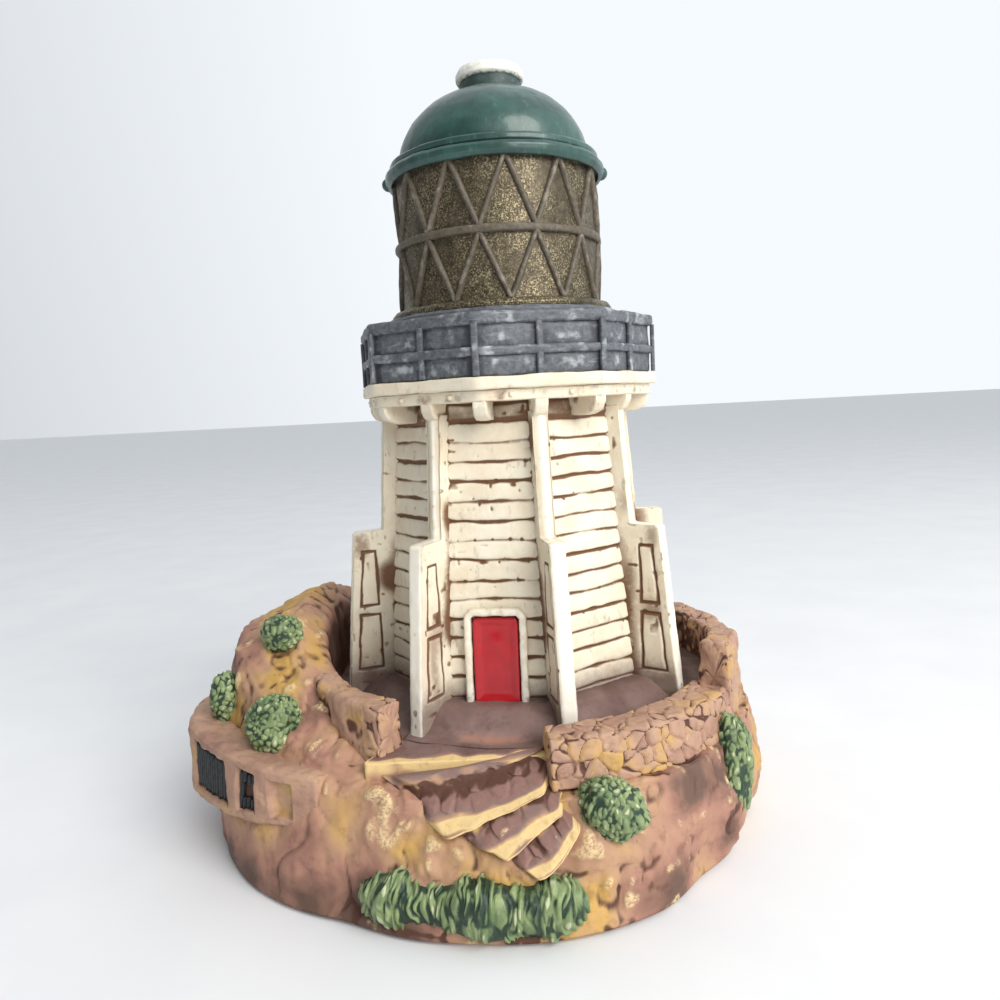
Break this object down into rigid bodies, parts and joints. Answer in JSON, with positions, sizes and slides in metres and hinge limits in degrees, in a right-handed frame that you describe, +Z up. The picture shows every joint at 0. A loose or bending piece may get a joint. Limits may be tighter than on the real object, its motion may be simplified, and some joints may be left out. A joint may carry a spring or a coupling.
{
  "type": "garden lighthouse ornament",
  "caption": "Cast resin lighthouse on a rocky base: octagonal buttressed tower in a walled court, railed gallery, latticed lantern and domed roof.",
  "frame": {"origin": "on the ground, at the underside of the felt pad, under the tower's axis", "axes": "+Z up along the tower's axis, the door faces -Y"},
  "size_m": [0.1171, 0.1143, 0.1495],
  "materials": {
    "rock_paint": "washed matt paint on resin",
    "stone_paint": "washed matt paint on resin",
    "court_paint": "satin paint on resin",
    "foliage_paint": "satin paint on resin",
    "slat_paint": "satin paint on resin",
    "cream_paint": "satin paint with brown wash on resin",
    "door_paint": "gloss paint on resin",
    "slate_paint": "dry-brushed satin paint on resin",
    "bronze_paint": "metallic flake paint on resin",
    "lattice_paint": "satin paint on resin",
    "green_paint": "satin gloss paint on resin",
    "cap_paint": "matt paint on resin",
    "felt": "thin felt"
  },
  "bodies": {
    "root": {"boards_back": "cream_paint", "boards_back_left": "cream_paint", "boards_back_right": "cream_paint", "boards_front": "cream_paint", "boards_front_left": "cream_paint", "boards_front_right": "cream_paint", "boards_left": "cream_paint", "boards_right": "cream_paint", "buttress_1": "cream_paint", "buttress_2": "cream_paint", "buttress_3": "cream_paint", "buttress_4": "cream_paint", "buttress_5": "cream_paint", "buttress_6": "cream_paint", "buttress_7": "cream_paint", "buttress_8": "cream_paint", "corbel_brackets": "cream_paint", "court_floor": "court_paint", "court_wall_high": "stone_paint", "court_wall_low": "stone_paint", "dome_gutter": "green_paint", "dome_rungs": "green_paint", "dome_shell": "green_paint", "door_frame": "cream_paint", "door_landing": "court_paint", "door_leaf": "door_paint", "felt_pad": "felt", "frieze_ring": "cream_paint", "frieze_studs": "cream_paint", "front_hedge": "foliage_paint", "gallery_deck": "slate_paint", "gallery_screen": "slate_paint", "gallery_slab": "cream_paint", "gutter_lugs": "green_paint", "high_wall_coping": "stone_paint", "lantern_drum": "bronze_paint", "lantern_flange": "bronze_paint", "lantern_plinth": "slate_paint", "lattice_lower": "lattice_paint", "lattice_ring": "lattice_paint", "lattice_upper": "lattice_paint", "low_wall_paving": "stone_paint", "middle_rail": "slate_paint", "rail_posts": "slate_paint", "rock_base": "rock_paint", "rock_mound": "rock_paint", "shrub_below_mound": "foliage_paint", "shrub_front_right": "foliage_paint", "shrub_on_mound": "foliage_paint", "shrub_on_terrace": "foliage_paint", "shrub_right": "foliage_paint", "terrace_slats": "slat_paint", "terrace_wall": "stone_paint", "threshold_slab": "court_paint", "top_rail": "slate_paint", "tower_core": "cream_paint", "tower_plinth": "court_paint", "vent_cap": "cap_paint", "vent_neck": "green_paint", "winder_steps": "rock_paint"}
  },
  "joints": []
}
